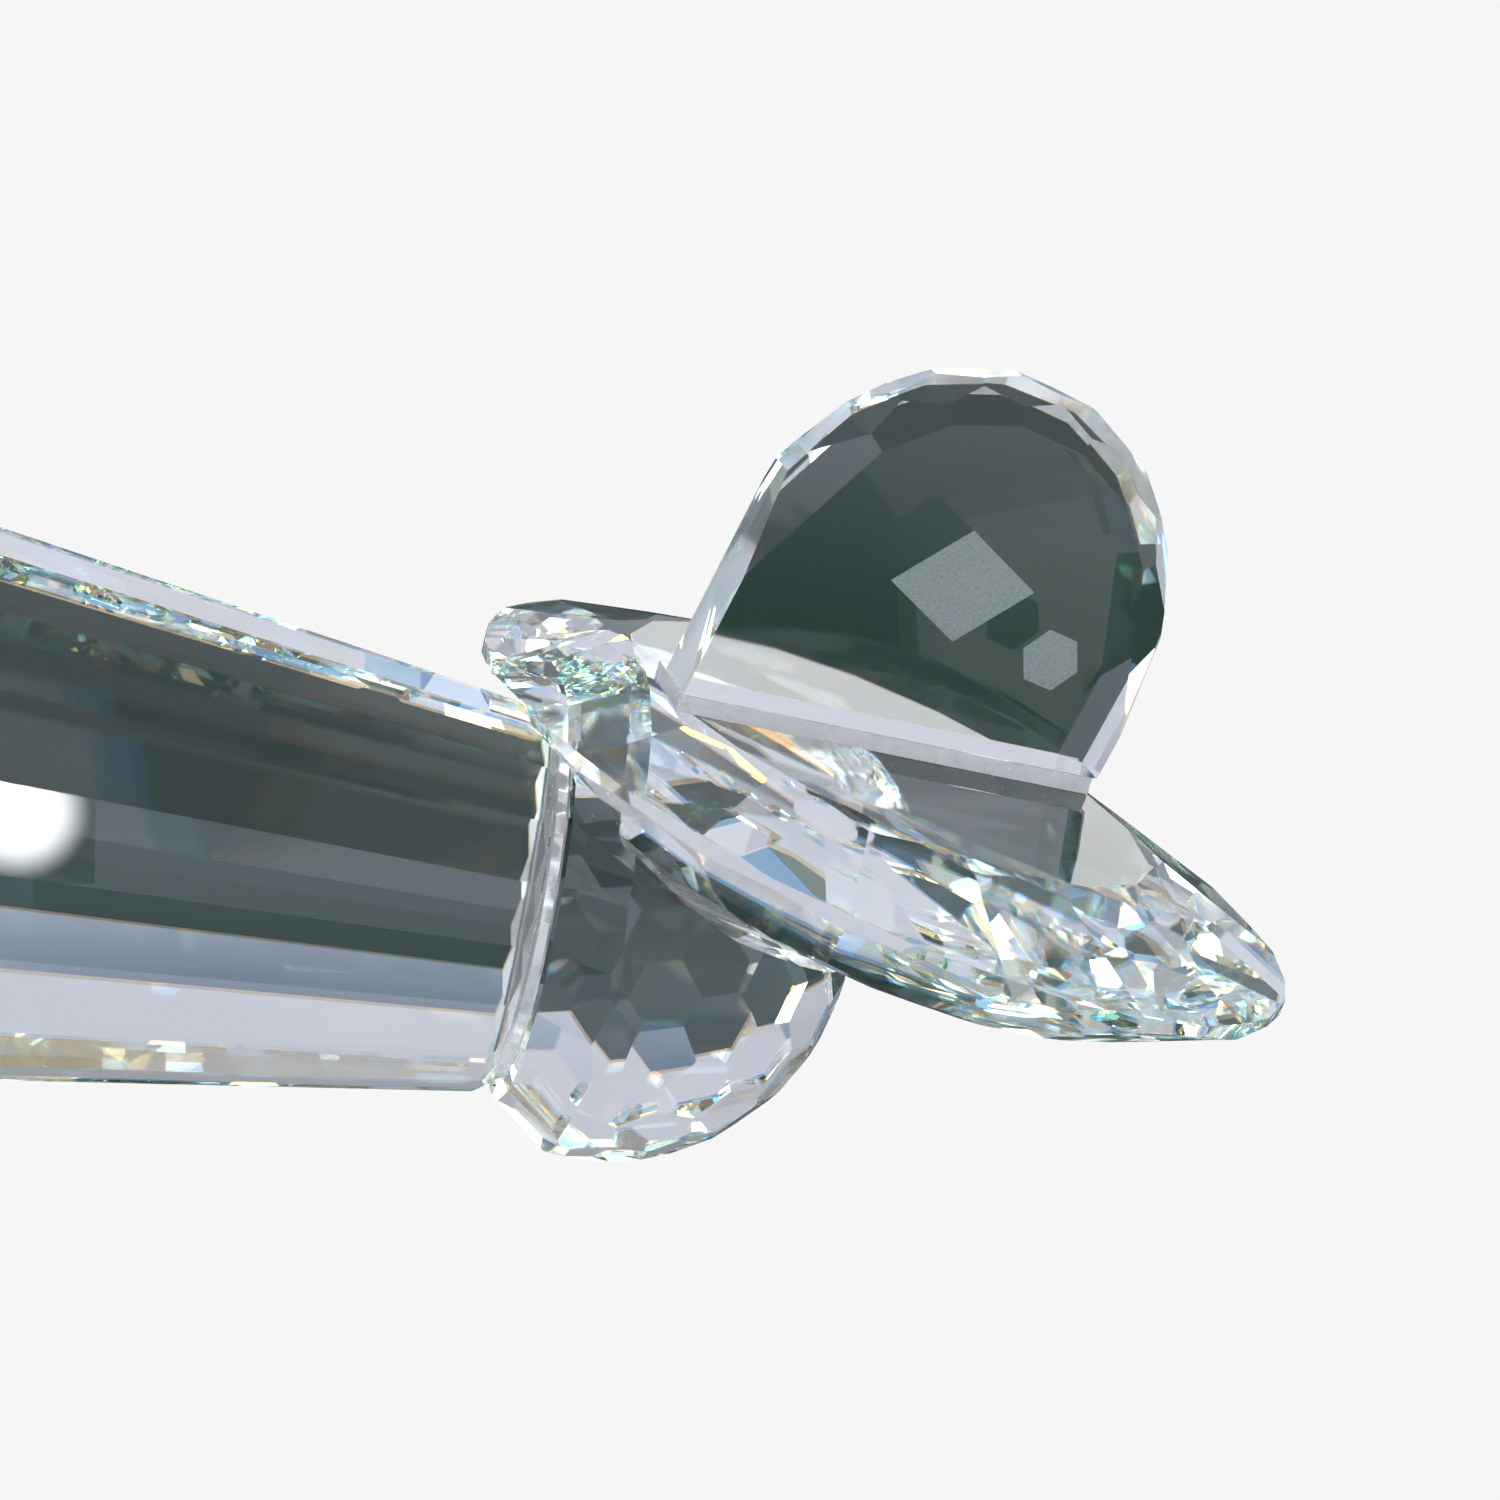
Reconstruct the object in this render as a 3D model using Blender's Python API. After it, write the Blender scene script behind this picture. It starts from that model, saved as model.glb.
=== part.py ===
"""Crystal glass figurine: four cut-crystal pieces joined by three clear glue bonds.

A tapered, long-faceted body carries a honeycomb-cut dome on its thin end. A large oval
brilliant lies in a seat in the dome with its flat table up, notched round the neck, and a
D-shaped plate stands on the table. Lengths are in millimetres until a mesh is finished,
then in metres.

Assembly frame: origin in the middle of the joint between body and dome, +X out of the
body towards the dome, +Z up. The table frame sits in it: origin under the plate, +X
along the plate's base, +Z square to the oval's table. One empty leans the assembly
until its two ground rest facets are level.
"""

import math

import bmesh
import bpy
from mathutils import Euler, Matrix, Vector

MM = 0.001

# Fit between pieces that touch
CLEARANCE = 0.3
BOND_THICKNESS = 0.15
BOND_MARGIN = 0.5

# Body: a tapered round bar ground to long flats, with a bevelled nose
BODY_FLATS = 20
BODY_TURN = math.radians(10.7)
BODY_LENGTH = 50.0
NECK_RADIUS = 7.9
BODY_TAPER = 0.135
SCALLOP_DEPTH = 0.5
NOSE_BEVEL = 3.2
NOSE_BEVEL_TILT = math.radians(48.0)
NOSE_STAR_INSET = 2.0
NOSE_STAR_TILT = math.radians(24.0)

# Dome: a honeycomb-cut ball with flared rectangles next to the neck
DOME_RADIUS = 9.9
DOME_CENTRE = 3.75
FLARE_LENGTH = 2.6
HONEYCOMB_LEVEL = 3
HONEYCOMB_TURN = Euler([math.radians(turn) for turn in (-86.2, -67.4, 4.8)])

# Table frame in the assembly frame: its place along it, and its rise above the dome's top
TABLE_ALONG = 12.2
TABLE_RISE = 0.4
TABLE_TURN = Euler([math.radians(turn) for turn in (-6.7, 3.4, 6.0)])

# Oval brilliant, its girdle's top edge CROWN_HEIGHT under the table
OVAL_LENGTH = 40.2
OVAL_WIDTH = 25.0
OVAL_TURN = math.radians(-61.6)
OVAL_SHIFT = (0.05, -0.9)
OVAL_STOPS = 18
CROWN_HEIGHT = 1.95
GIRDLE_HEIGHT = 0.7
PAVILION_HEIGHT = 5.8
# Rows of facets from the girdle up to the table, and down to the small keel: facets for
# each stop, and the row's outer and inner edge as shares of the girdle's distance and of
# the crown's or pavilion's height
CROWN_ROWS = (
    (2, (1.0, 0.0), (0.91, 0.54)),
    (1, (0.985, 0.0), (0.68, 0.93)),
    (1, (0.8, 0.72), (0.64, 1.0)),
)
PAVILION_ROWS = (
    (2, (1.0, 0.0), (0.83, 0.44)),
    (1, (0.985, 0.0), (0.66, 0.64)),
    (1, (0.84, 0.38), (0.42, 0.85)),
    (1, (0.6, 0.64), (0.08, 1.0)),
)
# Depth of the rim of the glue under the oval, as a share of the pavilion's height
BOND_RIM_DEPTH = 0.4

# From the joint to the oval's seat in the dome; up to there the oval is notched instead
SEAT_START = 2.0

# Upright plate with a round rim
PLATE_WIDTH = 17.7
PLATE_THICKNESS = 3.95
PLATE_FRONT_RISE = 8.5
PLATE_REAR_RISE = 5.2
PLATE_STOPS = 8
PLATE_FACE_BEVEL = (1.6, 1.05)
PLATE_BACK_BEVEL = (1.85, 1.1)
PLATE_SIDE_BEVEL = (0.9, 0.9)
# Rim facets between two stops: narrower and deeper than those on a stop
PLATE_STAR_SHARE = (0.7, 1.35)

# Depth of the two flats that the figurine rests on
REST_GRIND = 0.3

CRYSTAL = (0.93, 0.95, 0.96, 1.0)
GLUE = (0.96, 0.97, 0.97, 1.0)


def clear_scene():
    for thing in list(bpy.data.objects):
        bpy.data.objects.remove(thing, do_unlink=True)


def clear_material(name, colour, roughness):
    material = bpy.data.materials.new(name)
    material.use_nodes = True
    shader = material.node_tree.nodes["Principled BSDF"]
    shader.inputs["Base Color"].default_value = colour
    shader.inputs["Roughness"].default_value = roughness
    shader.inputs["Metallic"].default_value = 0.0
    shader.inputs["Alpha"].default_value = 0.35
    return material


def rough_block(length, width, height, centre=(0.0, 0.0, 0.0)):
    stone = bmesh.new()
    size = Matrix.Diagonal((length, width, height, 1.0))
    bmesh.ops.create_cube(stone, size=1.0, matrix=Matrix.Translation(centre) @ size)
    return stone


def grind(stone, normal, distance):
    """Cuts away everything beyond the plane at this distance along the normal."""
    normal = Vector(normal).normalized()
    bmesh.ops.bisect_plane(
        stone,
        geom=stone.verts[:] + stone.edges[:] + stone.faces[:],
        dist=1e-5,
        plane_co=normal * distance,
        plane_no=normal,
        clear_outer=True,
    )
    rim = [edge for edge in stone.edges if edge.is_boundary]
    if rim:
        bmesh.ops.holes_fill(stone, edges=rim, sides=0)


def grind_at(stone, normal, point):
    normal = Vector(normal).normalized()
    grind(stone, normal, normal.dot(Vector(point)))


def stops(count, turn=0.0):
    """Index angles of a cutting wheel with this many stops."""
    return [turn + 2 * math.pi * index / count for index in range(count)]


def around_x(angle, along=0.0):
    """A direction square to the X axis at this angle, leaning along X."""
    return Vector((along, math.cos(angle), math.sin(angle)))


def finish(stone, name, paint, parent, collection, place=None):
    """Turns a ground stone into a named object under its parent."""
    bmesh.ops.remove_doubles(stone, verts=stone.verts[:], dist=5e-3)
    bmesh.ops.dissolve_degenerate(stone, edges=stone.edges[:], dist=1e-3)
    bmesh.ops.recalc_face_normals(stone, faces=stone.faces[:])
    stone.transform(Matrix.Scale(MM, 4))
    mesh = bpy.data.meshes.new(name)
    stone.to_mesh(mesh)
    stone.free()
    piece = bpy.data.objects.new(name, mesh)
    if paint is not None:
        piece.data.materials.append(paint)
    collection.objects.link(piece)
    piece.parent = parent
    if place is not None:
        piece.matrix_local = place
    return piece


def joint():
    """The space between two pieces: a glue bond with a clearance on either side."""
    return BOND_THICKNESS + 2 * CLEARANCE


def half_joint():
    return joint() / 2


# Body


def flat_inner(radius):
    """Distance from the axis to the middle of a flat, for corners at this radius."""
    return radius * math.cos(math.pi / BODY_FLATS)


def nose_radius():
    return NECK_RADIUS + BODY_TAPER * BODY_LENGTH


def body():
    size = 4 * nose_radius()
    stone = rough_block(BODY_LENGTH, size, size, (-BODY_LENGTH / 2, 0.0, 0.0))
    half_stop = math.pi / BODY_FLATS
    for angle in stops(BODY_FLATS, BODY_TURN):
        edge = around_x(angle) * flat_inner(NECK_RADIUS)
        grind_at(stone, around_x(angle, BODY_TAPER), edge)
        grind_scallop(stone, angle + half_stop)
        grind_nose(stone, angle, NOSE_BEVEL_TILT, 0.0)
        grind_nose(stone, angle + half_stop, NOSE_STAR_TILT, NOSE_STAR_INSET)
    grind(stone, (1, 0, 0), -half_joint())
    grind(stone, down(), rest_distance())
    return stone


def grind_scallop(stone, angle):
    """Takes one corner off the neck's rim, so that the glue line is scalloped."""
    corner = around_x(angle) * (NECK_RADIUS - SCALLOP_DEPTH / 2)
    grind_at(stone, around_x(angle, 1.0), corner - Vector((half_joint(), 0, 0)))


def grind_nose(stone, angle, tilt, inset):
    """A facet of the nose's bevel, through a point this far in along the bevel."""
    inner = flat_inner(nose_radius() - BODY_TAPER * NOSE_BEVEL)
    slope = Vector((-math.sin(NOSE_BEVEL_TILT), 0, 0))
    slope -= around_x(angle) * math.cos(NOSE_BEVEL_TILT)
    point = Vector((NOSE_BEVEL - BODY_LENGTH, 0, 0)) + around_x(angle) * inner
    normal = around_x(angle) * math.sin(tilt) - Vector((math.cos(tilt), 0, 0))
    grind_at(stone, normal, point + slope * inset)


# Rest


def rest_lean():
    """The lean that sets the dome and the nose's lower edge on one level surface."""
    rise = flat_inner(nose_radius() - BODY_TAPER * NOSE_BEVEL)
    run = BODY_LENGTH - NOSE_BEVEL + DOME_CENTRE
    reach = math.hypot(rise, run)
    return math.acos(DOME_RADIUS / reach) - math.atan2(run, rise)


def down():
    """The direction of gravity in the assembly frame."""
    lean = rest_lean()
    return Vector((math.sin(lean), 0.0, -math.cos(lean)))


def rest_distance():
    """From the assembly's origin down to the surface that the figurine rests on."""
    return DOME_CENTRE * math.sin(rest_lean()) + DOME_RADIUS - REST_GRIND


# Dome


def dome_flare():
    return (DOME_RADIUS - NECK_RADIUS) / FLARE_LENGTH


def dome():
    size = 4 * DOME_RADIUS
    centre = Vector((DOME_CENTRE, 0.0, 0.0))
    stone = rough_block(size, size, size, centre)
    honeycomb = bmesh.new()
    bmesh.ops.create_icosphere(
        honeycomb,
        subdivisions=HONEYCOMB_LEVEL,
        radius=1.0,
        matrix=HONEYCOMB_TURN.to_matrix().to_4x4(),
    )
    for corner in honeycomb.verts:
        normal = corner.co.normalized()
        grind_at(stone, normal, centre + normal * DOME_RADIUS)
    honeycomb.free()
    for angle in stops(BODY_FLATS, BODY_TURN):
        edge = around_x(angle) * flat_inner(NECK_RADIUS)
        grind_at(stone, around_x(angle, -dome_flare()), edge)
    grind(stone, (-1, 0, 0), -half_joint())
    grind(stone, down(), rest_distance())
    return stone


def dome_bond():
    """Thin round of set glue between the body and the dome."""
    size = 4 * NECK_RADIUS
    stone = rough_block(BOND_THICKNESS, size, size)
    for angle in stops(BODY_FLATS, BODY_TURN):
        grind(stone, around_x(angle), flat_inner(NECK_RADIUS - SCALLOP_DEPTH))
    return stone


# Oval brilliant, in its own frame: +X along the oval, girdle's top edge at Z = 0


def oval_side(stop_angle):
    """Outward direction of the oval and the distance of its tangent there."""
    along = OVAL_LENGTH / 2
    across = OVAL_WIDTH / 2
    angle = math.atan2(along * math.sin(stop_angle), across * math.cos(stop_angle))
    outward = Vector((math.cos(angle), math.sin(angle), 0.0))
    return outward, math.hypot(along * outward.x, across * outward.y)


def grind_row(stone, angles, outer, inner, growth):
    """Facets at these stops of the oval, each through two levels at their share of the girdle.

    outer and inner are (share of the girdle's distance, height) pairs.
    """
    for stop_angle in angles:
        outward, reach = oval_side(stop_angle)
        start = outward * (reach * outer[0]) + Vector((0, 0, outer[1]))
        end = outward * (reach * inner[0]) + Vector((0, 0, inner[1]))
        run = outward.dot(start - end)
        rise = start.z - end.z
        normal = outward * abs(rise) + Vector((0, 0, -run * math.copysign(1.0, rise)))
        grind_at(stone, normal, start + normal.normalized() * growth)


def row_stops(index, share):
    """A row's stops: those between the mains for a double row, else turned row by row."""
    half_stop = math.pi / OVAL_STOPS
    if share == 2:
        return stops(2 * OVAL_STOPS, half_stop / 2)
    return stops(OVAL_STOPS, half_stop * (index % 2))


def keel_height():
    return -GIRDLE_HEIGHT - PAVILION_HEIGHT


def oval(growth=0.0):
    """The cut oval, or a copy of it with each facet moved out by the growth."""
    size = 2 * OVAL_LENGTH
    stone = rough_block(size, size, size)
    for stop_angle in row_stops(0, 2):
        outward, reach = oval_side(stop_angle)
        grind(stone, outward, reach + growth)
    for index, (share, *row) in enumerate(CROWN_ROWS):
        levels = [(width, CROWN_HEIGHT * height) for width, height in row]
        grind_row(stone, row_stops(index, share), *levels, growth)
    for index, (share, *row) in enumerate(PAVILION_ROWS):
        levels = [(width, -GIRDLE_HEIGHT - PAVILION_HEIGHT * depth) for width, depth in row]
        grind_row(stone, row_stops(index, share), *levels, growth)
    grind(stone, (0, 0, 1), CROWN_HEIGHT + growth)
    grind(stone, (0, 0, -1), -keel_height() + growth)
    return stone


def oval_place():
    centre = Vector((OVAL_SHIFT[0], OVAL_SHIFT[1], -CROWN_HEIGHT)) * MM
    return Matrix.Translation(centre) @ Matrix.Rotation(OVAL_TURN, 4, "Z")


def oval_bond():
    """Glue under the oval, inside the dome's outline. The oval's own shape hollows it."""
    rim = -GIRDLE_HEIGHT - PAVILION_HEIGHT * BOND_RIM_DEPTH
    stone = oval(CLEARANCE + BOND_THICKNESS)
    seen_from_oval = (table_place() @ oval_place()).inverted()
    centre = seen_from_oval @ (Vector((DOME_CENTRE, 0.0, 0.0)) * MM) / MM
    round_reach = math.sqrt(DOME_RADIUS**2 - (rim - centre.z) ** 2) - 2 * BOND_MARGIN
    for angle in stops(2 * OVAL_STOPS):
        outward = Vector((math.cos(angle), math.sin(angle), 0.0))
        grind(stone, outward, outward.dot(centre) + round_reach)
    grind(stone, (0, 0, 1), rim)
    grind_behind(stone, SEAT_START + joint() + BOND_MARGIN)
    return stone


def grind_behind(stone, start):
    """Takes off what the oval's stone has nearer to the body than this."""
    seen_from_oval = (table_place() @ oval_place()).inverted()
    point = seen_from_oval @ (Vector((start, 0.0, 0.0)) * MM) / MM
    grind_at(stone, seen_from_oval.to_3x3() @ Vector((-1, 0, 0)), point)


def table_place():
    origin = Vector((TABLE_ALONG, 0.0, DOME_RADIUS + TABLE_RISE))
    return Matrix.Translation(origin * MM) @ TABLE_TURN.to_matrix().to_4x4()


# Upright plate, in its own frame: rim arc's centre at the origin, sides along Z


def plate_slant():
    return math.atan2(PLATE_FRONT_RISE - PLATE_REAR_RISE, PLATE_WIDTH)


def plate_drop():
    """From the rim arc's centre down to the middle of the base."""
    return (PLATE_FRONT_RISE + PLATE_REAR_RISE) / 2


def grind_rim(stone, angle, side, bevel):
    """A facet between a face (side -1 front, 1 back) and the rim wall."""
    width, depth = bevel
    outward = Vector((math.cos(angle), 0.0, math.sin(angle)))
    edge = outward * (PLATE_WIDTH / 2 - width) + Vector((0, side * PLATE_THICKNESS / 2, 0))
    grind_at(stone, outward * depth + Vector((0, side * width, 0)), edge)


def star_bevel(bevel):
    return bevel[0] * PLATE_STAR_SHARE[0], bevel[1] * PLATE_STAR_SHARE[1]


def plate():
    stone = rough_block(2 * PLATE_WIDTH, PLATE_THICKNESS, 4 * PLATE_WIDTH)
    step = math.pi / PLATE_STOPS
    for stop in range(PLATE_STOPS + 1):
        grind(stone, (math.cos(stop * step), 0.0, math.sin(stop * step)), PLATE_WIDTH / 2)
    for stop in range(1, PLATE_STOPS):
        grind_rim(stone, stop * step, -1, PLATE_FACE_BEVEL)
        grind_rim(stone, stop * step, 1, PLATE_BACK_BEVEL)
    for stop in (0, PLATE_STOPS):
        grind_rim(stone, stop * step, 1, PLATE_SIDE_BEVEL)
    for stop in range(1, PLATE_STOPS - 1):
        middle = (stop + 0.5) * step
        grind_rim(stone, middle, -1, star_bevel(PLATE_FACE_BEVEL))
        grind_rim(stone, middle, 1, star_bevel(PLATE_BACK_BEVEL))
    slant = plate_slant()
    base = Vector((math.sin(slant), 0.0, -math.cos(slant)))
    grind(stone, base, base.dot(Vector((0.0, 0.0, -plate_drop()))) - joint())
    return stone


def plate_place():
    slant = Matrix.Rotation(plate_slant(), 4, "Y")
    return slant @ Matrix.Translation((0.0, 0.0, plate_drop() * MM))


def plate_bond():
    """Strip of set glue between the table and the plate's straight base."""
    length = PLATE_WIDTH / math.cos(plate_slant()) - 2 * BOND_MARGIN
    return rough_block(length, PLATE_THICKNESS, BOND_THICKNESS, (0.0, 0.0, half_joint()))


# Assembly


def as_cutter(piece):
    piece.display_type = "WIRE"
    piece.hide_render = True
    return piece


def cut(piece, name, cutter):
    hollow = piece.modifiers.new(name, "BOOLEAN")
    hollow.operation = "DIFFERENCE"
    hollow.solver = "EXACT"
    hollow.object = cutter


def seat_cutter():
    """The oval grown by the joint, from the seat's start on: it hollows the dome."""
    stone = oval(joint())
    grind_behind(stone, SEAT_START)
    return stone


def neck_cutter(start, end, slope):
    """The neck grown by the joint, with its sides at this slope: it notches the oval."""
    size = 4 * DOME_RADIUS
    stone = rough_block(end - start, size, size, ((start + end) / 2, 0.0, 0.0))
    for angle in stops(BODY_FLATS, BODY_TURN):
        edge = around_x(angle) * (flat_inner(NECK_RADIUS) + joint())
        grind_at(stone, around_x(angle, slope), edge)
    return stone


def stand_on_origin(frame, collection):
    """Moves the assembly so that the middle of its footprint is the world origin."""
    bpy.context.view_layer.update()
    points = [
        piece.matrix_world @ Vector(corner)
        for piece in collection.objects
        if piece.type == "MESH"
        for corner in [vertex.co for vertex in piece.data.vertices]
    ]
    low = [min(point[axis] for point in points) for axis in range(3)]
    high = [max(point[axis] for point in points) for axis in range(3)]
    frame.location = (-(low[0] + high[0]) / 2, -(low[1] + high[1]) / 2, -low[2])
    bpy.context.view_layer.update()


def build():
    clear_scene()
    collection = bpy.data.collections.new("crystal_figurine")
    cutters = bpy.data.collections.new("cutters")
    cutters.hide_render = True
    for made in (collection, cutters):
        bpy.context.scene.collection.children.link(made)
    frame = bpy.data.objects.new("assembly_frame", None)
    table = bpy.data.objects.new("table_frame", None)
    for empty in (frame, table):
        collection.objects.link(empty)
    table.parent = frame
    table.matrix_local = table_place()
    crystal = clear_material("crystal", CRYSTAL, 0.02)
    glue = clear_material("glue", GLUE, 0.1)
    finish(body(), "tapered_body", crystal, frame, collection)
    finish(dome_bond(), "dome_bond", glue, frame, collection)
    seat = as_cutter(finish(seat_cutter(), "seat_cutter", None, table, cutters, oval_place()))
    ball = finish(dome(), "tail_dome", crystal.copy(), frame, collection)
    cut(ball, "oval_seat", seat)
    stone = finish(oval(), "oval_brilliant", crystal.copy(), table, collection, oval_place())
    for name, start, end, slope in (
        ("body_notch", -BODY_LENGTH / 2, 0.0, BODY_TAPER),
        ("neck_notch", -half_joint(), SEAT_START + joint(), -dome_flare()),
    ):
        notch = finish(neck_cutter(start, end, slope), name, None, frame, cutters)
        cut(stone, name, as_cutter(notch))
    hollow = finish(oval(CLEARANCE), "bond_hollow", None, table, cutters, oval_place())
    dish = finish(oval_bond(), "oval_bond", glue.copy(), table, collection, oval_place())
    cut(dish, "bond_hollow", as_cutter(hollow))
    finish(plate(), "upright_plate", crystal.copy(), table, collection, plate_place())
    finish(plate_bond(), "plate_bond", glue.copy(), table, collection)
    frame.rotation_euler = Euler((0.0, rest_lean(), 0.0))
    stand_on_origin(frame, collection)


build()
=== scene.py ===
import math

import bmesh
import bpy
import mathutils.noise
from mathutils import Matrix, Vector


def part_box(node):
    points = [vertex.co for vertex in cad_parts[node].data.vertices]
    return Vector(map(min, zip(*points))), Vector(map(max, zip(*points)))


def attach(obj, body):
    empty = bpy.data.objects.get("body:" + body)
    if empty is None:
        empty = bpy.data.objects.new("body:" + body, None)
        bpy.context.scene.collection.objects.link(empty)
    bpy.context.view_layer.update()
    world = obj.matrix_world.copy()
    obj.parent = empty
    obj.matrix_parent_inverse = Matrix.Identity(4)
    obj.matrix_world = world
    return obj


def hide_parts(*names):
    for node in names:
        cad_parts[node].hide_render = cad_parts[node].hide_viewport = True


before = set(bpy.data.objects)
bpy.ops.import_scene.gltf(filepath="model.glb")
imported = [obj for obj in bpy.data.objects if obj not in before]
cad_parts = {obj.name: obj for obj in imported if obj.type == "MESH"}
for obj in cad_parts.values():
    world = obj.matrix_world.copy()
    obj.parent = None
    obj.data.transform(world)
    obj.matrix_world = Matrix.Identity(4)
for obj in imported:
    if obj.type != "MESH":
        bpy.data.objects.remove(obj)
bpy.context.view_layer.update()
scene = bpy.context.scene
MM = 0.001

# ------------------------------------------------------------------ places taken from the frame

body_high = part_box("tapered_body")[1]
dome_low, dome_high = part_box("tail_dome")
dome_centre = (dome_low + dome_high) / 2
ring_low, ring_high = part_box("dome_bond")
ring_centre = (ring_low + ring_high) / 2


# ------------------------------------------------------------------ node helpers

def new_material(name):
    material = bpy.data.materials.new(name)
    material.use_nodes = True
    tree = material.node_tree
    return material, tree, tree.nodes["Principled BSDF"], tree.nodes["Material Output"]


def node(tree, kind, **settings):
    made = tree.nodes.new(kind)
    for key, value in settings.items():
        setattr(made, key, value)
    return made


def noise(tree, coordinates, scale, detail, roughness):
    made = node(tree, "ShaderNodeTexNoise")
    tree.links.new(coordinates, made.inputs["Vector"])
    made.inputs["Scale"].default_value = scale
    made.inputs["Detail"].default_value = detail
    made.inputs["Roughness"].default_value = roughness
    return made.outputs["Fac"]


def ramp(tree, value, low, high, out_low=0.0, out_high=1.0):
    made = node(tree, "ShaderNodeMapRange", interpolation_type="SMOOTHSTEP")
    tree.links.new(value, made.inputs["Value"])
    made.inputs["From Min"].default_value = low
    made.inputs["From Max"].default_value = high
    made.inputs["To Min"].default_value = out_low
    made.inputs["To Max"].default_value = out_high
    return made.outputs["Result"]


def maths(tree, operation, *values):
    made = node(tree, "ShaderNodeMath", operation=operation)
    for socket, value in zip(made.inputs, values):
        if isinstance(value, (int, float)):
            socket.default_value = value
        else:
            tree.links.new(value, socket)
    return made.outputs[0]


# ------------------------------------------------------------------ crystal

CRYSTAL_IOR = 1.56
# Lead crystal bends blue light more than red, which gives the facets their fire: half of the
# light is warmer and bent less, the other half cooler and bent more
DISPERSION = 0.016
FIRE = (0.45, 0.0, -0.45)
TINT = (0.985, 0.992, 0.994)


def glass_lobe(tree, colour, ior, roughness):
    lobe = node(tree, "ShaderNodeBsdfGlass")
    lobe.inputs["Color"].default_value = (*colour, 1.0)
    lobe.inputs["IOR"].default_value = ior
    tree.links.new(roughness, lobe.inputs["Roughness"])
    return lobe.outputs[0]


def crystal(name):
    """Polished lead crystal: clear, with fire, and a trace of wiping marks in its polish."""
    material, tree, shader, out = new_material(name)
    tree.nodes.remove(shader)
    place = node(tree, "ShaderNodeTexCoord").outputs["Object"]
    marks = noise(tree, place, scale=900.0, detail=4.0, roughness=0.6)
    rough = ramp(tree, marks, 0.55, 0.85, out_low=0.0, out_high=0.02)
    warm = [tint * (1 + fire) for tint, fire in zip(TINT, FIRE)]
    cool = [tint * (1 - fire) for tint, fire in zip(TINT, FIRE)]
    mix = node(tree, "ShaderNodeMixShader")
    mix.inputs[0].default_value = 0.5
    tree.links.new(glass_lobe(tree, warm, CRYSTAL_IOR - DISPERSION, rough), mix.inputs[1])
    tree.links.new(glass_lobe(tree, cool, CRYSTAL_IOR + DISPERSION, rough), mix.inputs[2])
    tree.links.new(mix.outputs[0], out.inputs["Surface"])
    return material


for name in ("tapered_body", "tail_dome", "oval_brilliant", "upright_plate"):
    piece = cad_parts[name]
    piece.data.materials.clear()
    piece.data.materials.append(crystal("crystal_" + name))


# ------------------------------------------------------------------ glue, and faces it wets

# A face lies at a joint when its middle is this close to the piece's end
JOINT_REACH = 0.9 * MM
# Least cosine between two directions that count as one
SAME_WAY = 0.9995
# Cosines between the joint's axis and the scallops round the body's end
SCALLOP_COSINES = (0.6, 0.99)


def bonded(name):
    """A glass face wetted by clear glue: light goes on through it unbent, but for dust in it."""
    material, tree, shader, out = new_material(name)
    place = node(tree, "ShaderNodeTexCoord").outputs["Object"]
    clear = node(tree, "ShaderNodeBsdfTransparent")
    dust = noise(tree, place, scale=2600.0, detail=2.0, roughness=0.5)
    specks = ramp(tree, dust, 0.70, 0.76, out_low=0.0, out_high=0.5)
    shader.inputs["Base Color"].default_value = (0.9, 0.93, 0.95, 1.0)
    shader.inputs["Transmission Weight"].default_value = 1.0
    shader.inputs["Roughness"].default_value = 0.3
    mix = node(tree, "ShaderNodeMixShader")
    tree.links.new(specks, mix.inputs[0])
    tree.links.new(clear.outputs[0], mix.inputs[1])
    tree.links.new(shader.outputs[0], mix.inputs[2])
    tree.links.new(mix.outputs[0], out.inputs["Surface"])
    return material


def glue(name, cloudy):
    """Set clear glue: bright where it is cloudy or holds small bubbles."""
    material, tree, shader, out = new_material(name)
    place = node(tree, "ShaderNodeTexCoord").outputs["Object"]
    cloud = noise(tree, place, scale=1100.0, detail=5.0, roughness=0.65)
    rough = ramp(tree, cloud, 0.3, 0.75, out_low=0.05, out_high=0.35)
    shader.inputs["Base Color"].default_value = (0.97, 0.975, 0.99, 1.0)
    shader.inputs["IOR"].default_value = 1.5
    shader.inputs["Transmission Weight"].default_value = 1.0 - cloudy
    tree.links.new(rough, shader.inputs["Roughness"])
    return material


def bond_faces(piece, direction, material, least=SAME_WAY, most=math.inf):
    """Gives the material to this piece's faces at its end in a direction.

    least and most bound the cosine between a face's normal and the direction.
    """
    direction = Vector(direction).normalized()
    ends = [face for face in piece.data.polygons if face.normal.dot(direction) > SAME_WAY]
    outer = max(face.center.dot(direction) for face in ends)
    piece.data.materials.append(material)
    for face in piece.data.polygons:
        near_joint = face.center.dot(direction) > outer - JOINT_REACH
        if near_joint and least < face.normal.dot(direction) < most:
            face.material_index = len(piece.data.materials) - 1


def by_area(piece, accept):
    """The piece's biggest flat direction among the normals that are accepted."""
    flats = {}
    for face in piece.data.polygons:
        if accept(face.normal):
            rounded = tuple(round(part, 2) for part in face.normal)
            flats.setdefault(rounded, []).append(face)
    biggest = max(flats.values(), key=lambda faces: sum(face.area for face in faces))
    return max(biggest, key=lambda face: face.area).normal.copy()


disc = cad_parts["dome_bond"]
joint_axis = by_area(disc, lambda normal: normal.x > 0.5)
wetted = bonded("bonded_joint")
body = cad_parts["tapered_body"]
bond_faces(body, joint_axis, wetted)
bond_faces(body, joint_axis, glue("glue_scallops", cloudy=0.35), *SCALLOP_COSINES)
bond_faces(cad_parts["tail_dome"], -joint_axis, wetted)


# ------------------------------------------------------------------ shapes built here

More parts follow.
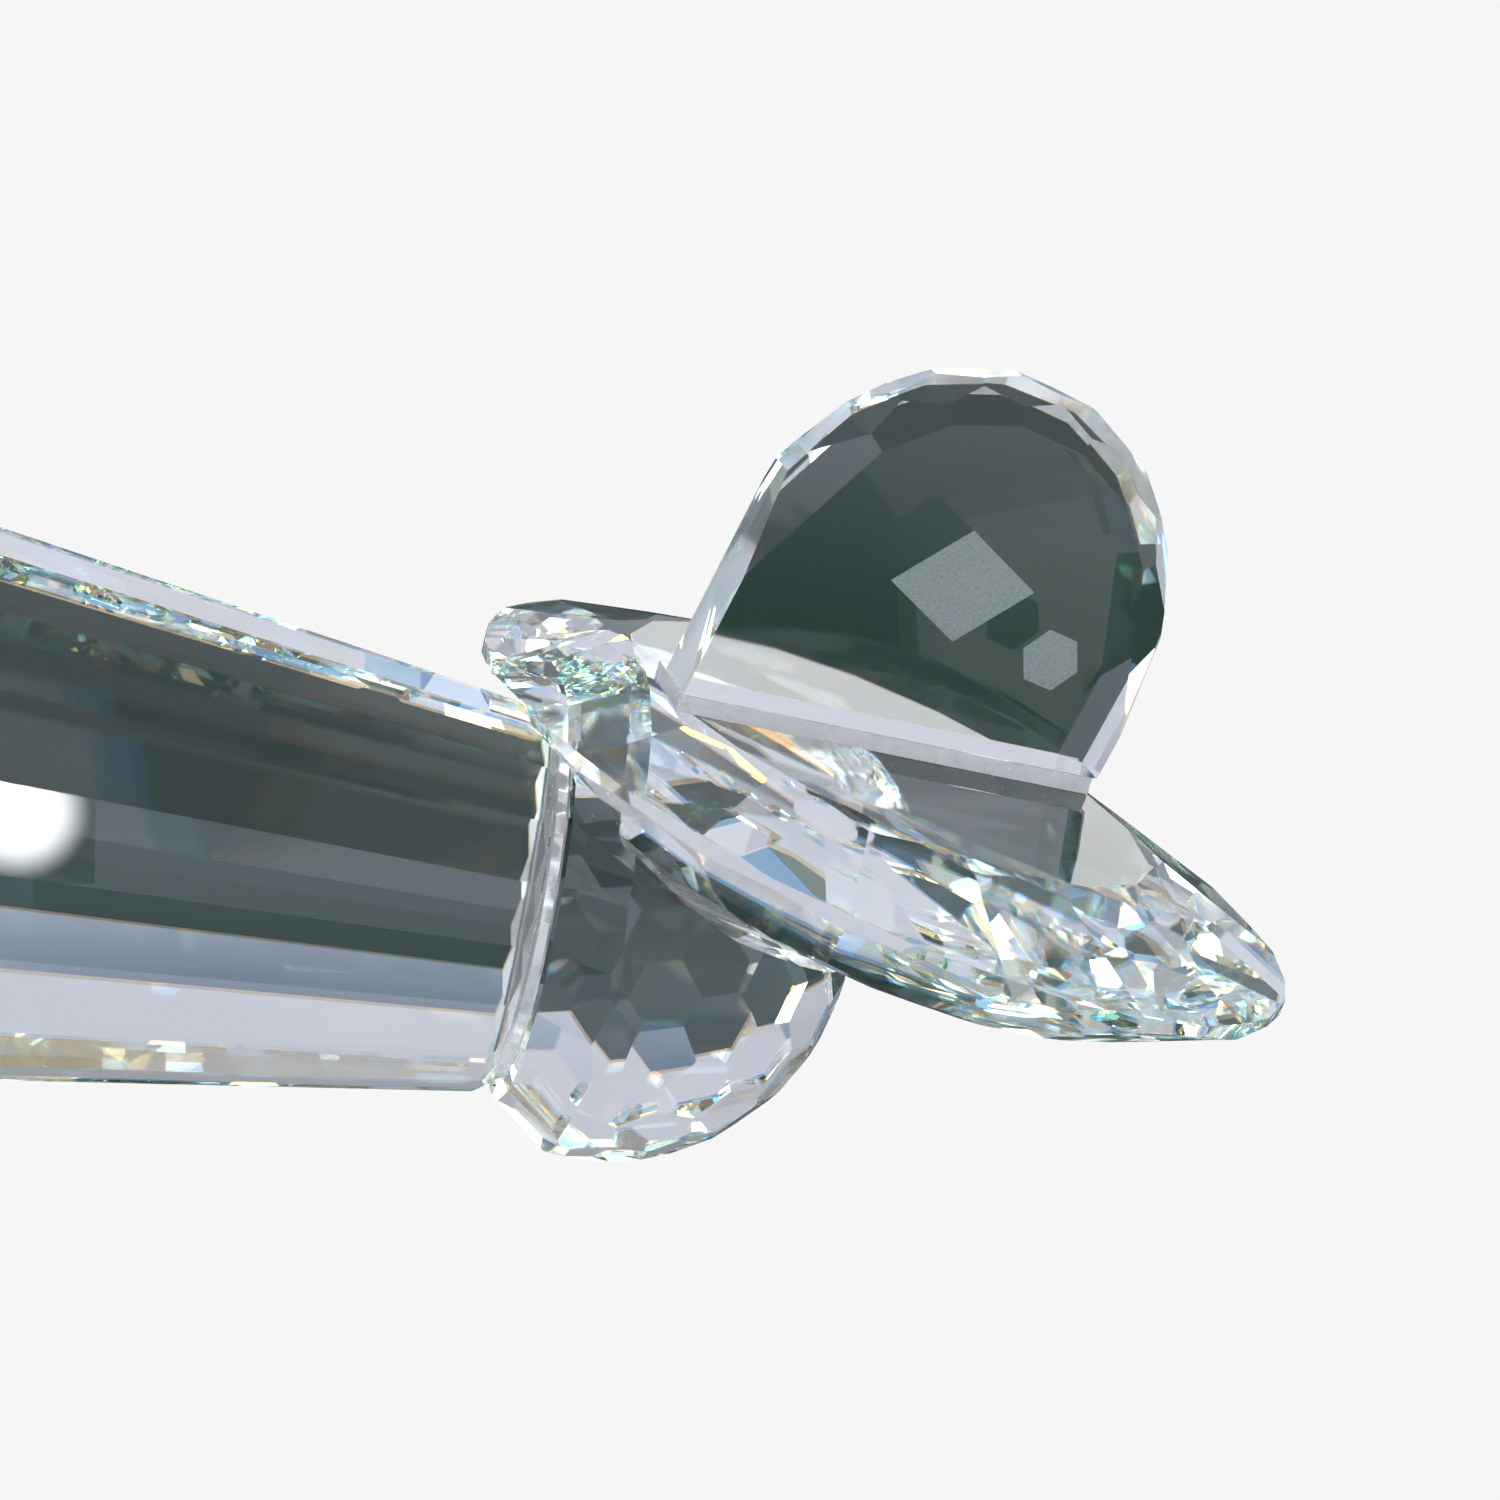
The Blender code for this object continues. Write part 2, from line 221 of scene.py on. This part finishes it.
def reach(piece, direction):
    """Lowest and highest distance of the piece's corners along a direction."""
    distances = [vertex.co.dot(direction) for vertex in piece.data.vertices]
    return min(distances), max(distances)


def squared_frame(across, up, point):
    """A placing matrix with +X across, +Z up and its origin at this point."""
    across = across.normalized()
    inward = up.cross(across).normalized()
    up = across.cross(inward)
    turn = Matrix((across, inward, up)).transposed().to_4x4()
    return Matrix.Translation(point) @ turn


def new_piece(name, stone, place, material):
    mesh = bpy.data.meshes.new(name)
    bmesh.ops.recalc_face_normals(stone, faces=stone.faces[:])
    stone.to_mesh(mesh)
    stone.free()
    made = bpy.data.objects.new(name, mesh)
    made.matrix_world = place
    made.data.materials.append(material)
    scene.collection.objects.link(made)
    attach(made, "root")
    return made


def loft(stone, rings):
    """Joins rings of corners side by side, closes both ends and returns the end faces."""
    count = len(rings[0])
    for first, second in zip(rings, rings[1:]):
        for index in range(count):
            after = (index + 1) % count
            stone.faces.new((first[index], first[after], second[after], second[index]))
    return stone.faces.new(rings[0]), stone.faces.new(list(reversed(rings[-1])))


def wobble(point, scale, amount):
    return mathutils.noise.noise(Vector(point) * scale) * amount


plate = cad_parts["upright_plate"]
plate_front = by_area(plate, lambda normal: normal.y < -0.8)


# ------------------------------------------------------------------ the strip of glue under the plate

# Two clearances and a bond between glued pieces, and the share of it that the bead fills
JOINT_GAP = 0.75 * MM
BEAD_SHARE = 0.93
BEAD_STEP = 0.12 * MM
# What the bead stands out past the CAD strip, at its ends and along its sides
BEAD_GROWTH = 0.45 * MM
BEAD_SIDE_GROWTH = 0.02 * MM
# Fine waves fade out towards the glass above and below, slow waves don't
BEAD_FINE_WAVES = 2600.0
BEAD_FINE_DEPTH = 0.10 * MM
BEAD_SLOW_WAVES = 700.0
BEAD_SLOW_DEPTH = 0.06 * MM
BEAD_SLOW_SEED = 7.0
BEAD_SHARP = math.radians(40)
# The bead's cross-section: side and level, each from -1 to 1
BEAD_LEVELS = (-1.0, -0.5, 0.0, 0.5, 1.0)
BEAD_OUTLINE = (*((-1.0, level) for level in BEAD_LEVELS),
                *((1.0, level) for level in reversed(BEAD_LEVELS)))


def plate_bead():
    """The strip under the plate, filling the gap, with a wavy outer edge."""
    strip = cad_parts["plate_bond"]
    up = by_area(strip, lambda normal: normal.z > 0.9)
    across = (-plate_front).cross(up).normalized()
    inward = up.cross(across)
    ends = reach(strip, across)
    sides = reach(strip, inward)
    centre = across * sum(ends) / 2 + up * (sum(reach(strip, up)) / 2) + inward * sum(sides) / 2
    length = ends[1] - ends[0] + 2 * BEAD_GROWTH
    half_depth = (sides[1] - sides[0]) / 2 + BEAD_SIDE_GROWTH
    half_height = JOINT_GAP * BEAD_SHARE / 2
    count = int(length / BEAD_STEP)
    stone = bmesh.new()
    sections = []
    for index in range(count + 1):
        along = (index / count - 0.5) * length
        section = []
        for side, level in BEAD_OUTLINE:
            fine = wobble((along, side, level * MM), BEAD_FINE_WAVES, BEAD_FINE_DEPTH)
            slow = wobble((along, side, BEAD_SLOW_SEED), BEAD_SLOW_WAVES, BEAD_SLOW_DEPTH)
            bulge = fine * (1 - abs(level) ** 4) + slow
            depth = side * (half_depth + bulge)
            section.append(stone.verts.new((along, depth, level * half_height)))
        sections.append(section)
    loft(stone, sections)
    place = squared_frame(across, up, centre)
    made = new_piece("plate_glue", stone, place, glue("glue_plate", cloudy=0.45))
    made.data.shade_smooth()
    made.data.set_sharp_from_angle(angle=BEAD_SHARP)
    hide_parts("plate_bond")


plate_bead()


# ------------------------------------------------------------------ the round of glue at the neck

DISC_THICKNESS = 0.62 * MM
# What the round stands out past the CAD disc
DISC_GROWTH = 0.15 * MM
DISC_STEPS = 160
DISC_WAVES = 14.0
DISC_WAVE_DEPTH = 0.10 * MM
DISC_SHARP = math.radians(30)
# Its rims across its thickness: level from -1 to 1, and how far in
DISC_RIMS = ((-1.0, 0.12 * MM), (-0.6, 0.0), (0.6, 0.0), (1.0, 0.12 * MM))


def joint_disc():
    """The round of glue between body and dome, out to the scalloped rims."""
    place = squared_frame(joint_axis, Vector((0, 0, 1)), ring_centre)
    to_local = place.inverted()
    radius = max((to_local @ vertex.co).yz.length for vertex in disc.data.vertices) + DISC_GROWTH
    stone = bmesh.new()
    rims = []
    for level, inset in DISC_RIMS:
        rim = []
        for step in range(DISC_STEPS):
            angle = 2 * math.pi * step / DISC_STEPS
            around = Vector((math.cos(angle), math.sin(angle)))
            wave = wobble((around.x, around.y, level), DISC_WAVES, DISC_WAVE_DEPTH)
            out = radius - inset + wave
            rim.append(stone.verts.new((level * DISC_THICKNESS / 2, around.x * out, around.y * out)))
        rims.append(rim)
    for cap in loft(stone, rims):
        cap.material_index = 1
    made = new_piece("joint_glue", stone, place, glue("glue_joint", cloudy=0.4))
    made.data.materials.append(wetted)
    made.data.shade_smooth()
    made.data.set_sharp_from_angle(angle=DISC_SHARP)
    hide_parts("dome_bond")


joint_disc()
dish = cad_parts["oval_bond"]
dish.data.materials.clear()
dish.data.materials.append(glue("glue_oval", cloudy=0.1))


# ------------------------------------------------------------------ frosted marks on the plate

FROST_THICKNESS = 0.02 * MM
FROST_STANDOFF = 0.02 * MM
# Plain shapes in the plate's face, in millimetres from its rim arc's centre: centre, half width,
# half height, corners, turn in degrees
MARKS = (
    ((-0.5, 0.6), 3.0, 2.3, 4, 18.0),
    ((4.4, -0.7), 1.3, 1.3, 6, 0.0),
)


def frosted(name):
    """Finely etched glass: grey-white and half see-through."""
    material, tree, shader, out = new_material(name)
    place = node(tree, "ShaderNodeTexCoord").outputs["Object"]
    grain = noise(tree, place, scale=9000.0, detail=4.0, roughness=0.7)
    shader.inputs["Base Color"].default_value = (0.36, 0.43, 0.42, 1.0)
    shader.inputs["Roughness"].default_value = 0.8
    see_through = ramp(tree, grain, 0.3, 0.7, out_low=0.45, out_high=0.75)
    tree.links.new(see_through, shader.inputs["Alpha"])
    return material


def etched_marks():
    """Thin plain shapes lying on the plate's front face."""
    side = by_area(plate, lambda normal: abs(normal.dot(plate_front)) < 0.02 and normal.x > 0.6)
    up = side.cross(-plate_front)
    ends = reach(plate, side)
    centre_height = reach(plate, up)[1] - (ends[1] - ends[0]) / 2
    face = reach(plate, plate_front)[1]
    centre = side * sum(ends) / 2 + up * centre_height + plate_front * (face + FROST_STANDOFF)
    place = squared_frame(side, up, centre)
    frost = frosted("frosted_mark")
    for number, ((x, z), half_width, half_height, corners, turn) in enumerate(MARKS, 1):
        spin = Matrix.Rotation(math.radians(turn), 2)
        stone = bmesh.new()
        rims = []
        for depth in (0.0, -FROST_THICKNESS):
            rim = []
            for corner in range(corners):
                angle = 2 * math.pi * corner / corners
                flat = spin @ Vector((math.cos(angle) * half_width, math.sin(angle) * half_height))
                rim.append(stone.verts.new(((x + flat.x) * MM, depth, (z + flat.y) * MM)))
            rims.append(rim)
        loft(stone, rims)
        new_piece(f"frosted_mark_{number}", stone, place, frost)


etched_marks()


# ------------------------------------------------------------------ floor and lamps

FLOOR_SIZE = 12.0
FLOOR_DROP = 0.1 * MM
PALE = (0.922, 0.922, 0.922, 1.0)
WHITE = (1.0, 1.0, 1.0, 1.0)
COOL_WHITE = (0.85, 0.9, 1.0, 1.0)
LAVENDER = (0.72, 0.78, 1.0, 1.0)
BLUE = (0.25, 0.45, 1.0, 1.0)
ORANGE = (1.0, 0.55, 0.12, 1.0)
# Panels that light seen through the glass comes from: place, width, height, colour, strength
PANELS = (
    ("softbox_top", (0.05, 0.05, 0.55), 0.30, 0.18, WHITE, 5.0),
    ("softbox_left", (-0.45, -0.10, 0.25), 0.16, 0.25, COOL_WHITE, 5.0),
    ("softbox_right", (0.45, -0.05, 0.30), 0.12, 0.25, WHITE, 5.0),
    ("card_low", (-0.40, -0.34, -0.28), 0.26, 0.22, LAVENDER, 1.1),
    ("strip_blue", (0.40, 0.30, 0.18), 0.04, 0.20, BLUE, 6.0),
    ("strip_orange", (0.36, 0.34, 0.20), 0.03, 0.20, ORANGE, 6.0),
)
# Share of the round lamp's radius where it starts to fade
LAMP_CORE = 0.35


def card(name, width, height, place):
    mesh = bpy.data.meshes.new(name)
    x, y = width / 2, height / 2
    mesh.from_pydata([(-x, -y, 0), (x, -y, 0), (x, y, 0), (-x, y, 0)], [], [(0, 1, 2, 3)])
    made = bpy.data.objects.new(name, mesh)
    scene.collection.objects.link(made)
    made.matrix_world = place
    return made


def glow(name, colour, strength):
    material = bpy.data.materials.new(name)
    material.use_nodes = True
    tree = material.node_tree
    tree.nodes.clear()
    light = node(tree, "ShaderNodeEmission")
    light.inputs["Color"].default_value = colour
    light.inputs["Strength"].default_value = strength
    out = node(tree, "ShaderNodeOutputMaterial")
    tree.links.new(light.outputs[0], out.inputs["Surface"])
    return material


def softbox(name, place, aim, width, height, colour, strength):
    """A glowing panel seen in the glass only, never by the camera itself."""
    place = Vector(place)
    towards = (Vector(aim) - place).to_track_quat("Z", "Y").to_matrix().to_4x4()
    made = card(name, width, height, Matrix.Translation(place) @ towards)
    made.data.materials.append(glow(name, colour, strength))
    made.visible_camera = False
    made.visible_shadow = False
    return made


def round_lamp(name, place, aim, radius, strength):
    """A lamp with a soft edge, mirrored in one flat of the body."""
    made = softbox(name, place, aim, 2 * radius, 2 * radius, WHITE, strength)
    tree = made.data.materials[0].node_tree
    spot = node(tree, "ShaderNodeTexCoord").outputs["Object"]
    away = node(tree, "ShaderNodeVectorMath", operation="LENGTH")
    tree.links.new(spot, away.inputs[0])
    fade = ramp(tree, away.outputs["Value"], LAMP_CORE * radius, radius, strength, 0.0)
    tree.links.new(fade, tree.nodes["Emission"].inputs["Strength"])
    made.visible_transmission = False


floor = card("floor", FLOOR_SIZE, FLOOR_SIZE, Matrix.Translation((0, 0, -FLOOR_DROP)))
floor.data.materials.append(glow("floor_pale", PALE, 1.0))
floor.visible_transmission = False
floor.visible_glossy = False

# Mirrored in the oval's table
window_low = softbox("window_low", (0.23, 0.583, 0.115), dome_centre, 0.225, 0.10, WHITE, 2.3)
window_low.visible_transmission = False
for name, place, width, height, colour, strength in PANELS:
    panel = softbox(name, place, dome_centre, width, height, colour, strength)
    panel.visible_glossy = False
round_lamp("lamp_front", (0.152, -0.549, 0.217), body_high, radius=0.017, strength=26.0)


# ------------------------------------------------------------------ surroundings seen in the glass

# By height above the horizon in degrees: a dark green-black surface below, a pale lavender
# wall above
SURROUNDINGS = (
    (-90.0, (0.016, 0.030, 0.026)),
    (-38.0, (0.012, 0.028, 0.023)),
    (-34.0, (0.014, 0.032, 0.027)),
    (-31.0, (0.070, 0.095, 0.105)),
    (-28.0, (0.065, 0.090, 0.100)),
    (-25.5, (0.016, 0.040, 0.032)),
    (-23.0, (0.020, 0.044, 0.036)),
    (-18.0, (0.060, 0.085, 0.085)),
    (-10.0, (0.100, 0.125, 0.145)),
    (-5.0, (0.600, 0.620, 0.700)),
    (8.0, (0.660, 0.680, 0.760)),
    (40.0, (0.600, 0.620, 0.700)),
    (90.0, (0.400, 0.430, 0.500)),
)

# The room overhead and on the camera's side, seen by light that went through the glass:
# patches of dark, wall and window, with windows only overhead or well to the sides
ROOM_FROM_DEGREES = 40.0
ROOM_FADE_DEGREES = 4.0
ROOM_BEHIND = 0.15
ROOM_BESIDE = 0.7
ROOM_FADE = 0.1
ROOM_CELLS = 5.0
ROOM_STOPS = (
    (0.0, (0.06, 0.08, 0.08)),
    (0.18, (0.40, 0.41, 0.43)),
    (0.50, (0.70, 0.72, 0.80)),
    (0.80, (1.0, 1.0, 1.0)),
)
WINDOW_BRIGHTNESS = 4.5


def set_stops(ramp_node, entries):
    """Sets a colour ramp's stops from (position, colour) pairs in rising order."""
    elements = ramp_node.color_ramp.elements
    while len(elements) < len(entries):
        elements.new(1.0)
    for element, (position, colour) in zip(elements, entries):
        element.position = position
        element.color = (*colour, 1.0)


world = bpy.data.worlds.new("studio")
scene.world = world
world.use_nodes = True
tree = world.node_tree
tree.nodes.clear()
path = node(tree, "ShaderNodeLightPath")
heading = node(tree, "ShaderNodeTexCoord").outputs["Generated"]
axes = node(tree, "ShaderNodeSeparateXYZ")
tree.links.new(heading, axes.inputs[0])

# Wall and dark surface, by height
elevation = maths(tree, "ARCSINE", axes.outputs[2])
share = maths(tree, "MULTIPLY_ADD", elevation, 1.0 / math.pi, 0.5)
shades = node(tree, "ShaderNodeValToRGB")
set_stops(shades, [(degrees / 180.0 + 0.5, colour) for degrees, colour in SURROUNDINGS])
tree.links.new(share, shades.inputs[0])
wall = node(tree, "ShaderNodeBackground")
tree.links.new(shades.outputs[0], wall.inputs["Color"])

# Patches of the room
cells = node(tree, "ShaderNodeTexVoronoi")
cells.inputs["Scale"].default_value = ROOM_CELLS
tree.links.new(heading, cells.inputs["Vector"])
cell_value = node(tree, "ShaderNodeSeparateXYZ")
tree.links.new(cells.outputs["Color"], cell_value.inputs[0])
patches = node(tree, "ShaderNodeValToRGB")
patches.color_ramp.interpolation = "CONSTANT"
set_stops(patches, ROOM_STOPS)
tree.links.new(cell_value.outputs[0], patches.inputs[0])
overhead = ramp(tree, elevation, math.radians(ROOM_FROM_DEGREES),
                math.radians(ROOM_FROM_DEGREES + ROOM_FADE_DEGREES))
behind = ramp(tree, axes.outputs[1], ROOM_BEHIND - ROOM_FADE, ROOM_BEHIND, 1.0, 0.0)
beside = ramp(tree, maths(tree, "ABSOLUTE", axes.outputs[0]), ROOM_BESIDE, ROOM_BESIDE + ROOM_FADE)
around = maths(tree, "MAXIMUM", overhead, behind)
around = maths(tree, "MULTIPLY", around, path.outputs["Is Transmission Ray"])
window = maths(tree, "GREATER_THAN", cell_value.outputs[0], ROOM_STOPS[-1][0])
window = maths(tree, "MULTIPLY", window, maths(tree, "MAXIMUM", overhead, beside))
brightness = maths(tree, "MULTIPLY_ADD", window, WINDOW_BRIGHTNESS - 1.0, 1.0)
room = node(tree, "ShaderNodeBackground")
tree.links.new(patches.outputs[0], room.inputs["Color"])
tree.links.new(brightness, room.inputs["Strength"])

# The glass sees wall and room, the camera a plain pale backdrop
seen = node(tree, "ShaderNodeMixShader")
tree.links.new(around, seen.inputs[0])
tree.links.new(wall.outputs[0], seen.inputs[1])
tree.links.new(room.outputs[0], seen.inputs[2])
backdrop = node(tree, "ShaderNodeBackground")
backdrop.inputs["Color"].default_value = PALE
pick = node(tree, "ShaderNodeMixShader")
tree.links.new(path.outputs["Is Camera Ray"], pick.inputs[0])
tree.links.new(seen.outputs[0], pick.inputs[1])
tree.links.new(backdrop.outputs[0], pick.inputs[2])
out = node(tree, "ShaderNodeOutputWorld")
tree.links.new(pick.outputs[0], out.inputs["Surface"])


# ------------------------------------------------------------------ key light

KEY_ENERGY = 0.6
KEY_SIZE = 0.3
KEY_PLACE = (-0.2, -0.3, 0.5)

key = bpy.data.lights.new("key", "AREA")
key.energy = KEY_ENERGY
key.size = KEY_SIZE
key_lamp = bpy.data.objects.new("key", key)
key_lamp.location = KEY_PLACE
key_lamp.rotation_euler = (dome_centre - key_lamp.location).to_track_quat("-Z", "Y").to_euler()
key_lamp.visible_glossy = False
key_lamp.visible_transmission = False
key_lamp.visible_camera = False
scene.collection.objects.link(key_lamp)


# ------------------------------------------------------------------ camera

LENS = 72.0
SENSOR = 36.0
CAMERA_AZIMUTH = math.radians(-10.87)
CAMERA_ELEVATION = math.radians(25.78)
CAMERA_ROLL = math.radians(11.26)
CAMERA_DISTANCE = 0.1235
NEAREST = 0.001
FARTHEST = 100.0
AIM = ring_centre + Vector((8.55, 2.1, 7.0)) * MM

camera = bpy.data.objects.new("camera", bpy.data.cameras.new("camera"))
camera.data.lens = LENS
camera.data.sensor_width = SENSOR
camera.data.clip_start = NEAREST
camera.data.clip_end = FARTHEST
back = Vector((math.sin(CAMERA_AZIMUTH) * math.cos(CAMERA_ELEVATION),
               -math.cos(CAMERA_AZIMUTH) * math.cos(CAMERA_ELEVATION),
               math.sin(CAMERA_ELEVATION)))
level = (-back).to_track_quat("-Z", "Y").to_matrix().to_4x4()
roll = Matrix.Rotation(CAMERA_ROLL, 4, "Z")
camera.matrix_world = Matrix.Translation(AIM + back * CAMERA_DISTANCE) @ level @ roll
scene.collection.objects.link(camera)
scene.camera = camera
scene.view_settings.view_transform = "Standard"

# Light is thrown to and fro many times inside a cut stone before it leaves
LIGHT_BOUNCES = 32
scene.cycles.max_bounces = LIGHT_BOUNCES
scene.cycles.glossy_bounces = LIGHT_BOUNCES
scene.cycles.transmission_bounces = LIGHT_BOUNCES
